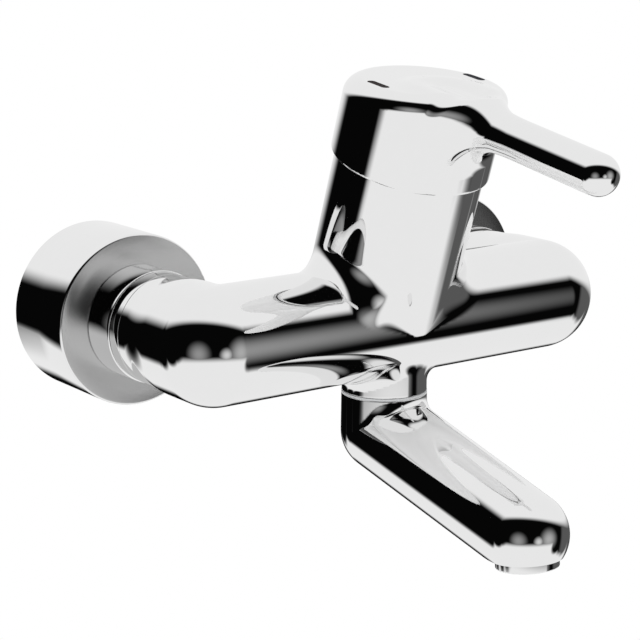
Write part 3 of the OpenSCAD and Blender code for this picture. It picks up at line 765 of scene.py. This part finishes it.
def softened(mat, reach, low):
    """Chrome looks plain pale where another piece mirrors it from beyond a reach.

    Below a height, if one is given, that starts from nearer by."""
    near_reach, fade = 25, 10
    tree = mat.node_tree
    path = tree.nodes.new("ShaderNodeLightPath").outputs
    soft = numbers(tree, "GREATER_THAN", path["Ray Length"], reach * MM)
    if low:
        steep = 1 / (fade * MM)
        below = numbers(tree, "MULTIPLY_ADD", place_on(tree, "Z"), -steep,
                        0.5 + low * MM * steep, clamp=True)
        near = numbers(tree, "GREATER_THAN", path["Ray Length"], near_reach * MM)
        soft = numbers(tree, "MAXIMUM", soft, numbers(tree, "MULTIPLY", near, below))
    soft = numbers(tree, "MULTIPLY", soft, path["Is Glossy Ray"])
    shader = tree.nodes["Principled BSDF"]
    tree.links.new(numbers(tree, "SUBTRACT", 1.0, soft), shader.inputs["Metallic"])
    return mat


def chrome(name="Chrome plate", reach=50, low=None):
    return bpy.data.materials.get(name) or softened(plated(name), reach, low)


def faced_chrome(depth):
    """Chrome whose flat front, past a depth from the wall, has a satin roughness and painted shade:
    its colour is darkened.
    """
    # How much the front's colour is darkened: painted shade
    shade = 0.38
    mat = plated("Faced chrome")
    tree = mat.node_tree
    shader = tree.nodes["Principled BSDF"].inputs
    colour = shader["Base Color"].links[0].from_socket
    gloss = shader["Roughness"].links[0].from_socket
    front = numbers(tree, "LESS_THAN", place_on(tree, "Y"), -depth * MM)
    mirrored = tree.nodes.new("ShaderNodeLightPath").outputs["Is Glossy Ray"]
    satin = numbers(tree, "MULTIPLY", front, numbers(tree, "SUBTRACT", 1.0, mirrored))
    rough = numbers(tree, "MULTIPLY_ADD", satin, finish().facing, gloss)
    # Painted shade: the front's colour is scaled down so that its mirrored light reads grey
    tone = numbers(tree, "MULTIPLY_ADD", front, -shade, 1.0)
    tree.links.new(rough, shader["Roughness"])
    tree.links.new(scaled(tree, colour, tone), shader["Base Color"])
    return mat


# Operators

def finished(step):
    """What a step returns when it is done."""
    if bpy.context.mode != "OBJECT":
        raise RuntimeError(f"{step.bl_label} left a mesh open")
    return {"FINISHED"}


class MIXER_OT_finishes(bpy.types.Operator):
    """Makes the shared effects and gives the inner parts their materials"""

    bl_idname = "mixer.finishes"
    bl_label = "Finishes of the inner parts"
    bl_options = {"REGISTER", "UNDO"}

    def execute(self, context):
        mottle_group()
        lathe_group()
        f = finish()
        enamel = {"unevenness": 0.15, "cloud": 300, "grain": 2500, "gloss": 0.6, "haze": 0.1,
                  "sheen": 0.1}
        looks = {
            "brass": surface("Bare brass", tuple(f.brass), unevenness=0.12, cloud=90,
                             grain=1200, gloss=0.28, haze=0.12, metallic=1, turning=0.25),
            "steel": surface("Turned steel", tuple(f.steel), unevenness=0.1, cloud=120,
                             grain=1500, gloss=0.3, haze=0.1, metallic=1, turning=0.3),
            "ceramic": surface("Lapped ceramic", tuple(f.ceramic), unevenness=0.05, cloud=150,
                               grain=1800, gloss=0.16, haze=0.08, coat=0.2),
            "cartridge_plastic": surface("Moulded acetal", tuple(f.plastic), unevenness=0.06,
                                         cloud=80, grain=1400, gloss=0.42, haze=0.1, bump=0.2),
            "glide_plastic": surface("Glide plastic", tuple(f.glide), unevenness=0.05,
                                     cloud=80, grain=1400, gloss=0.3, haze=0.08, bump=0.12),
            "seal": surface("Seal rubber", tuple(f.rubber), unevenness=0.25, cloud=110,
                            grain=1600, gloss=0.62, haze=0.12, bump=0.3),
            "hot_enamel": surface("Hot enamel", tuple(f.hot), **enamel),
            "cold_enamel": surface("Cold enamel", tuple(f.cold), **enamel),
            "chrome": chrome(),
        }
        for row in frame["record"]["subparts"]:
            mesh = frame["nodes"][row["node"]].data
            mesh.materials.clear()
            mesh.materials.append(looks[row["material_slot"]])
        return finished(self)


class MIXER_OT_body(bpy.types.Operator):
    """Models the bar with its arms, tower and neck as one chromed skin"""

    bl_idname = "mixer.body"
    bl_label = "Bar, arms, tower and neck"
    bl_options = {"REGISTER", "UNDO"}

    def execute(self, context):
        tower = Tower()
        corner = np.array([mm("half_spacing"), -mm("bar_reach"), mm("bar_height")])
        middle = corner * [0, 1, 1]
        seam = middle - UP * mm("neck_drop")
        past, arm_side, arm_back = 1.8, 45, -70
        top_zone, seam_zone, neck_zone = 45, 8, 18
        skin = fuse("body_chrome", self.rough(tower, corner, middle, seam), BODY_GRAIN)

        def keep(p):
            behind = (np.abs(p[:, 0]) > arm_side) & (p[:, 1] > past - mm("arm_end"))
            above = tower.height(p) > mm("tower_height") + past
            return ~(behind | above | (p[:, 2] < seam[2] - past))

        def near_top(p):
            return tower.height(p) > top_zone

        def near_seam(p):
            return p[2] < seam[2] + seam_zone and abs(p[0]) < neck_zone

        settle(skin, body_form, keep)
        open_mesh(skin)
        finish_end(skin, tower.point(mm("tower_height")), tower.axis, near_top,
                   mm("tower_edge"), bore=20.2, depth=35.7)
        finish_end(skin, seam, -UP, near_seam, mm("seam_edge"), bore=11, depth=15.6)
        for side in (-1, 1):
            place = np.array([side * mm("half_spacing"), -mm("arm_end"), mm("bar_height")])
            finish_end(skin, place, (0, 1, 0),
                       lambda p: side * p[0] > arm_side and p[1] > arm_back,
                       mm("arm_edge"), bore=15, depth=12)
        close_mesh()
        polish(skin, lambda p: body_form(p, ends=True))
        stand_for(skin, "body", "fixed", chrome("Bar chrome", low=15))
        return finished(self)

    @staticmethod
    def rough(tower, corner, middle, seam):
        """Rough forms, longer than the piece where its ends are cut."""
        spare, narrowing, toe_inset, toe_rise = 4.0, 1, 8, 1
        bar, trunk = mm("bar_radius"), mm("tower_radius")
        mirror = corner * [-1, 1, 1]
        parts = [stick(mirror, corner, bar)]
        for end in (mirror, corner):
            wall_end = end * [1, 0, 1] - np.array([0, mm("arm_end") - spare, 0])
            parts += [ball(end, bar), stick(end, wall_end, bar, bar - narrowing)]
        foot = tower.point(mm("tower_foot"))
        sole = tower.point(mm("tower_foot") - mm("foot_round") + toe_rise)
        return parts + [stick(sole, foot, trunk - toe_inset, trunk),
                        stick(foot, tower.point(mm("tower_height") + spare), trunk),
                        stick(middle, seam - UP * spare, mm("neck_radius"))]


class MIXER_OT_handle(bpy.types.Operator):
    """Models the cap with its lever, hollow and index slots"""

    bl_idname = "mixer.handle"
    bl_label = "Handle"
    bl_options = {"REGISTER", "UNDO"}

    def execute(self, context):
        tower, base = Tower(), mm("cap_base")
        past, rim_height = 1.5, 6
        skin = fuse("handle_chrome", self.rough(tower, base), HANDLE_GRAIN)
        settle(skin, handle_form, lambda p: tower.height(p) > base - past)
        open_mesh(skin)
        finish_end(skin, tower.point(base), -tower.axis,
                   lambda p: tower.height(p) < base + rim_height)
        self.hollow(skin, tower)
        close_mesh()
        for side in (-1, 1):
            carve(skin, slot_block(side, width=3.2, length=10.6, height=2.0, depth=1.0))
        carve(skin, self.screw_hole())
        polish(skin, handle_form)
        stand_for(skin, "handle", "lever", chrome())
        return finished(self)

    @staticmethod
    def rough(tower, base):
        """Rough cap, cut at a slant, and rough lever."""
        spare_below, spare_above, inside, swell = 5, 12, 10, 0.3
        start, out = lever_line()
        top, facing = cap_plane()
        cap = stick(tower.point(base - spare_below), tower.point(mm("cap_top") + spare_above),
                    mm("cap_radius"))
        set_in_mesh(cap)
        open_mesh(cap)
        bpy.ops.mesh.select_all(action="SELECT")
        bpy.ops.mesh.bisect(plane_co=metres(top), plane_no=Vector(facing), use_fill=True,
                            clear_outer=True)
        close_mesh()
        tip, radius = start + out * mm("lever_reach"), mm("lever_radius")
        return [cap, stick(start + out * inside, tip, radius + swell, radius), ball(tip, radius)]

    @staticmethod
    def hollow(skin, tower):
        """Draws the base's rim up into the round hollow, ring by ring."""
        hinge, radius, height = mm("hinge_height"), mm("hollow_radius"), mm("cap_base")
        first_turn, last_turn, turn_step = 24, 84, 6
        girth = math.sqrt(radius ** 2 - (height - hinge) ** 2)
        widen_rim(skin, tower.point(height), girth)
        for turn in range(first_turn, last_turn + 1, turn_step):
            high = hinge + radius * math.sin(math.radians(turn))
            wide = radius * math.cos(math.radians(turn))
            share = wide / girth
            draw_rim(Vector(tower.axis) * (high - height) * MM, (share, share, share),
                     metres(tower.point(high)))
            height, girth = high, wide
        bpy.ops.mesh.edge_face_add()

    @staticmethod
    def screw_hole():
        """The grub screw's hole in the back of the cap."""
        depth, inner, outer, radius = 6.2, 14, 40, 2.55
        top, facing = cap_plane()
        back = np.cross(facing, [-1.0, 0, 0])
        start = top - facing * depth + back * depth * math.tan(sizes().cap_tilt)
        return stick(start + back * inner, start + back * outer, radius, steps=48)


class MIXER_OT_index_marks(bpy.types.Operator):
    """Lays the two enamel marks into the cap's slots"""

    bl_idname = "mixer.index_marks"
    bl_label = "Hot and cold marks"
    bl_options = {"REGISTER", "UNDO"}

    def execute(self, context):
        for side, node, look in ((-1, "index_hot", "Hot enamel"), (1, "index_cold", "Cold enamel")):
            mark = slot_block(side, width=3.16, length=10.56, height=0.78, depth=0.9)
            mark.name = mark.data.name = node + "_inlay"
            smooth(mark)
            stand_for(mark, node, "lever", bpy.data.materials[look])
        return finished(self)


class MIXER_OT_spout(bpy.types.Operator):
    """Models the swivel spout as one chromed skin"""

    bl_idname = "mixer.spout"
    bl_label = "Spout"
    bl_options = {"REGISTER", "UNDO"}

    def execute(self, context):
        bend, tip, up = bend_point(), tip_point(), outlet_axis()
        seam = bend + UP * (mm("bend_drop") - mm("neck_drop") - mm("ring_thickness"))
        spare, past, ring_gap, socket_floor = 4, 1.5, 0.06, 0.57
        seam_zone, neck_zone, outlet_zone, tip_zone = 6, 18, 6, 17
        parts = [ball(bend, mm("bend_radius")), ball(tip, mm("tip_radius")),
                 stick(bend, tip, mm("bend_radius"), mm("tip_radius")),
                 stick(bend, seam + UP * spare, mm("neck_radius"))]
        skin = fuse("spout_chrome", parts, SPOUT_GRAIN)
        settle(skin, spout_form, lambda p: p[:, 2] < seam[2] + past)

        def near_seam(p):
            return p[2] > seam[2] - seam_zone and np.hypot(p[0], p[1] - bend[1]) < neck_zone

        def near_outlet(p):
            return (p - tip) @ up < -outlet_zone and np.linalg.norm(p - tip) < tip_zone

        open_mesh(skin)
        finish_end(skin, seam, UP, near_seam, mm("seam_edge"), bore=10.93, depth=10.2)
        finish_end(skin, tip - up * mm("end_drop"), -up, near_outlet,
                   bore=mm("outlet_radius") + ring_gap, depth=mm("end_drop") - socket_floor)
        close_mesh()
        polish(skin, lambda p: spout_form(p, ends=True))
        stand_for(skin, "spout", "spout", chrome("Spout chrome", reach=110))
        return finished(self)


class MIXER_OT_wall_fittings(bpy.types.Operator):
    """Turns the rosettes, union nuts and inlet bushes"""

    bl_idname = "mixer.wall_fittings"
    bl_label = "Rosettes, nuts and bushes"
    bl_options = {"REGISTER", "UNDO"}

    def execute(self, context):
        left, lying = (-mm("half_spacing"), 0, mm("bar_height")), (math.pi / 2, 0, 0)
        # The rosettes' chrome darkens their front as painted shade
        for node, outline, look in (("rosette", self.rosette(), faced_chrome(SATIN_AND_PAINTED_SHADE_DEPTH)),
                                    ("union_nut", self.nut(), chrome()),
                                    ("inlet_bush", self.bush(), chrome())):
            piece = turned(node + "_left_chrome", outline)
            put(piece, left, lying)
            pair = [piece, twin(piece, node + "_right_chrome", 2 * mm("half_spacing"))]
            for obj, side in zip(pair, ("left", "right")):
                smooth(obj)
                stand_for(obj, f"{node}_{side}", "fixed", look)
        return finished(self)

    @staticmethod
    def rosette():
        """A deep cup with a collar round its bore; heights are from the wall."""
        outer, deep, wall, edge, ring = 32.0, ROSETTE_DEPTH, 1.4, 1.0, 6
        bore, bevel, collar, collar_deep, lip = 13.32, 0.3, 2.7, 9, 3
        inner = deep - collar_deep
        return [(outer, 0.0), (outer, deep / 2), *arc((outer - edge, deep - edge), edge, 0, 90),
                (outer - ring, deep), (bore + lip, deep), (bore + bevel, deep),
                (bore, deep - bevel), (bore, inner), (bore + collar, inner),
                (bore + collar, deep - wall), (outer - wall, deep - wall), (outer - wall, 0.0)]

    @staticmethod
    def nut():
        """A smooth round nut with a shoulder at its front."""
        outer, near, far, edge, bevel = 20.8, 34.6, 49.0, 0.4, 0.3
        bore, lip, shoulder, thread = 11.1, 4, 2.6, 13.27
        return [(outer - bevel, near), (outer, near + bevel), (outer, (near + far) / 2),
                *arc((outer - edge, far - edge), edge, 0, 90),
                (bore + lip, far), (bore + bevel, far), (bore, far - bevel),
                (bore, far - shoulder), (thread, far - shoulder), (thread, near)]

    @staticmethod
    def bush():
        """A band in line with the arm, a plug into it, and a collared tail towards the wall."""
        band, edge, plug, plug_long, bore = 5.7, 0.1, 14.9, 11.7, 7.5
        tail, collar, collar_near, collar_far = 10.8, 12.92, 43.6, 46.4
        far = mm("arm_end")
        near, outer = far - band, float(arm_girth(far))
        return [(outer - edge, near), (outer, near + edge), (outer, (near + far) / 2),
                (outer, far - edge), (outer - edge, far), (plug, far), (plug, far + plug_long),
                (bore, far + plug_long), (bore, collar_near), (collar, collar_near),
                (collar, collar_far), (tail, collar_far), (tail, near)]


class MIXER_OT_outlet(bpy.types.Operator):
    """Turns the outlet's ring"""

    bl_idname = "mixer.outlet"
    bl_label = "Outlet ring"
    bl_options = {"REGISTER", "UNDO"}

    def execute(self, context):
        outer, wall, high, edge, bevel = mm("outlet_radius"), 1.5, 9.0, 0.5, 0.25
        inner = outer - wall
        outline = [(inner, bevel), (inner + bevel, 0.0), *arc((outer - edge, edge), edge, -90, 0),
                   (outer, high / 2), (outer, high), (inner, high)]
        ring = turned("aerator_ring", outline)
        place = tip_point() - outlet_axis() * mm("outlet_drop")
        put(ring, place, (-sizes().outlet_tilt, 0, 0))
        smooth(ring)
        stand_for(ring, "aerator_housing", "spout", chrome())
        return finished(self)


# Studio

# A pale ceiling and ground: each a direction, and the cosines where it starts and is full
CEILING = ((0.418, 0.418, 0.807), 0.3, 0.5)
GROUND = ((-0.0155, -0.058, -1), 0.135, 0.365)
# Round patches: azimuth and elevation, reach and softness, all in degrees
DARK_PATCHES = ((66, -8, 26, 5), (-175, -4, 23, 4), (-145, -2, 21, 4), (148, -4, 24, 5),
                (115, -6, 24, 5), (-110, -1, 18, 5), (146, -18, 22, 6), (-119, -7, 17, 4),
                (46, -20, 14, 4), (80, -15, 19, 5), (-143, -12, 15, 4))
DIM_PATCH, DIM_LEVEL = (90, -15, 27, 6), 0.11
SECOND_PATCH = (12, 6, 28, 8)
# Glows: azimuth, elevation and reach in degrees, and the level in the middle
GLOWS = ((-60, -1, 27, 0.34), (20, -2, 30, 0.5), (-8, -3, 16, 0.75))
DARKEST = 0.002
# Places and sizes in metres
FLOOR_HEIGHT, FLOOR_SIZE, FLOOR_TONE = -0.32, 8, 0.9
LAMP_PLACE, LAMP_AIM, LAMP_SIZE, LAMP_POWER = (-0.7, -0.9, 1.5), (0, -0.08, 0), 1.6, 6
CAMERA_PLACE, CAMERA_AIM = (-0.42124, -0.62587, 0.16525), (-0.00361, -0.05, 0.00125)
SENSOR, LENS = 36, 107.216


def heading(azimuth, elevation):
    """Direction for an azimuth, 0 in front and 90 on the right, and an elevation, in degrees."""
    a, e = math.radians(azimuth), math.radians(elevation)
    return math.sin(a) * math.cos(e), -math.cos(a) * math.cos(e), math.sin(e)


def nearness(tree, ray, direction):
    """Cosine of the angle between a ray and a direction."""
    dot = tree.nodes.new("ShaderNodeVectorMath")
    dot.operation = "DOT_PRODUCT"
    tree.links.new(ray, dot.inputs[0])
    dot.inputs[1].default_value = Vector(direction).normalized()
    return dot.outputs["Value"]


def towards(tree, ray, direction, low, high):
    """Soft-edged patch round a direction: 0 below the first cosine, 1 above the second."""
    soft = tree.nodes.new("ShaderNodeMapRange")
    soft.interpolation_type = "SMOOTHSTEP"
    tree.links.new(nearness(tree, ray, direction), soft.inputs["Value"])
    soft.inputs["From Min"].default_value = low
    soft.inputs["From Max"].default_value = high
    return soft.outputs["Result"]


def patch(tree, ray, azimuth, elevation, reach, soft):
    """Round patch with a soft rim."""
    low, high = math.cos(math.radians(reach + soft)), math.cos(math.radians(reach - soft))
    return towards(tree, ray, heading(azimuth, elevation), low, high)


def glow(tree, ray, azimuth, elevation, reach):
    """Round patch that is brightest in its middle and fades to nothing at its reach."""
    low = math.cos(math.radians(reach))
    near = nearness(tree, ray, heading(azimuth, elevation))
    near = numbers(tree, "SUBTRACT", near, low)
    near = numbers(tree, "MULTIPLY", near, 1 / (1 - low), clamp=True)
    return numbers(tree, "MULTIPLY", near, near)


def aimed(name, data, place, aim):
    """A lamp or camera at a place, turned to a point."""
    obj = bpy.data.objects.new(name, data)
    bpy.context.scene.collection.objects.link(obj)
    obj.location = place
    obj.rotation_euler = (Vector(aim) - obj.location).to_track_quat("-Z", "Y").to_euler()
    return obj


class MIXER_OT_studio(bpy.types.Operator):
    """Sets up the pale floor, the soft studio and the camera"""

    bl_idname = "mixer.studio"
    bl_label = "Studio"
    bl_options = {"REGISTER", "UNDO"}

    def execute(self, context):
        scene = context.scene
        self.walls(scene)
        self.floor()
        softbox = bpy.data.lights.new("Softbox", "AREA")
        softbox.energy, softbox.size = LAMP_POWER, LAMP_SIZE
        aimed("Softbox", softbox, LAMP_PLACE, LAMP_AIM).visible_glossy = False
        view = bpy.data.cameras.new("Camera")
        view.sensor_width, view.lens = SENSOR, LENS
        view.clip_start, view.clip_end = 0.01, 50
        scene.camera = aimed("Camera", view, CAMERA_PLACE, CAMERA_AIM)
        scene.view_settings.view_transform = "Standard"
        return finished(self)

    @staticmethod
    def walls(scene):
        """A pale studio with a dark open side; the camera itself sees plain white."""
        world = bpy.data.worlds.new("Studio")
        scene.world = world
        world.use_nodes = True
        tree = world.node_tree
        ray = tree.nodes.new("ShaderNodeTexCoord").outputs["Generated"]
        path = tree.nodes.new("ShaderNodeLightPath").outputs

        def larger(one, other):
            return numbers(tree, "MAXIMUM", one, other)

        def times(one, other):
            return numbers(tree, "MULTIPLY", one, other)

        shade = 0.0
        for dark in DARK_PATCHES:
            shade = larger(shade, patch(tree, ray, *dark))
        ground = times(towards(tree, ray, *GROUND), numbers(tree, "SUBTRACT", 1.0, shade))
        pale = larger(towards(tree, ray, *CEILING), ground)
        for *place, strength in GLOWS:
            pale = larger(pale, times(glow(tree, ray, *place), strength))
        pale = larger(pale, times(patch(tree, ray, *DIM_PATCH), DIM_LEVEL))
        one_mirror = 1.5
        second = numbers(tree, "GREATER_THAN", path["Glossy Depth"], one_mirror)
        pale = larger(pale, times(second, patch(tree, ray, *SECOND_PATCH)))
        pale = larger(pale, path["Is Diffuse Ray"])
        level = numbers(tree, "MULTIPLY_ADD", pale, finish().studio, DARKEST)
        back = tree.nodes["Background"].inputs
        tree.links.new(larger(level, path["Is Camera Ray"]), back["Color"])
        back["Strength"].default_value = 1.0

    @staticmethod
    def floor():
        """A matt pale floor, plain white to the camera."""
        bpy.ops.mesh.primitive_plane_add(size=FLOOR_SIZE, location=(0, 0, FLOOR_HEIGHT))
        plane = added("studio_floor")
        set_in_mesh(plane)
        mat = bpy.data.materials.new("Studio floor")
        mat.use_nodes = True
        tree = mat.node_tree
        matt = tree.nodes["Principled BSDF"]
        matt.inputs["Base Color"].default_value = (FLOOR_TONE, FLOOR_TONE, FLOOR_TONE, 1)
        matt.inputs["Roughness"].default_value = 0.8
        white = tree.nodes.new("ShaderNodeEmission")
        mix = tree.nodes.new("ShaderNodeMixShader")
        seen = tree.nodes.new("ShaderNodeLightPath").outputs["Is Camera Ray"]
        tree.links.new(seen, mix.inputs["Fac"])
        tree.links.new(matt.outputs[0], mix.inputs[1])
        tree.links.new(white.outputs[0], mix.inputs[2])
        tree.links.new(mix.outputs[0], tree.nodes["Material Output"].inputs["Surface"])
        plane.data.materials.append(mat)
        plane.visible_glossy = False


STEPS = (MIXER_OT_finishes, MIXER_OT_body, MIXER_OT_handle, MIXER_OT_index_marks, MIXER_OT_spout,
         MIXER_OT_wall_fittings, MIXER_OT_outlet, MIXER_OT_studio)


class MIXER_PT_steps(bpy.types.Panel):
    """Lists the mixer's steps in the sidebar"""

    bl_idname = "MIXER_PT_steps"
    bl_label = "Wall mixer"
    bl_space_type = "VIEW_3D"
    bl_region_type = "UI"
    bl_category = "Mixer"

    def draw(self, context):
        for step in STEPS:
            self.layout.operator(step.bl_idname)
        for group in (context.scene.mixer_sizes, context.scene.mixer_finish):
            box = self.layout.box()
            for name in group.__annotations__:
                box.prop(group, name)


CLASSES = (MixerSizes, MixerFinish, *STEPS, MIXER_PT_steps)


def register():
    for cls in CLASSES:
        bpy.utils.register_class(cls)
    bpy.types.Scene.mixer_sizes = bpy.props.PointerProperty(type=MixerSizes)
    bpy.types.Scene.mixer_finish = bpy.props.PointerProperty(type=MixerFinish)


def unregister():
    del bpy.types.Scene.mixer_finish
    del bpy.types.Scene.mixer_sizes
    for cls in reversed(CLASSES):
        bpy.utils.unregister_class(cls)


def main():
    register()
    bpy.ops.mixer.finishes()
    bpy.ops.mixer.body()
    bpy.ops.mixer.handle()
    bpy.ops.mixer.index_marks()
    bpy.ops.mixer.spout()
    bpy.ops.mixer.wall_fittings()
    bpy.ops.mixer.outlet()
    bpy.ops.mixer.studio()


if __name__ == "__main__":
    main()
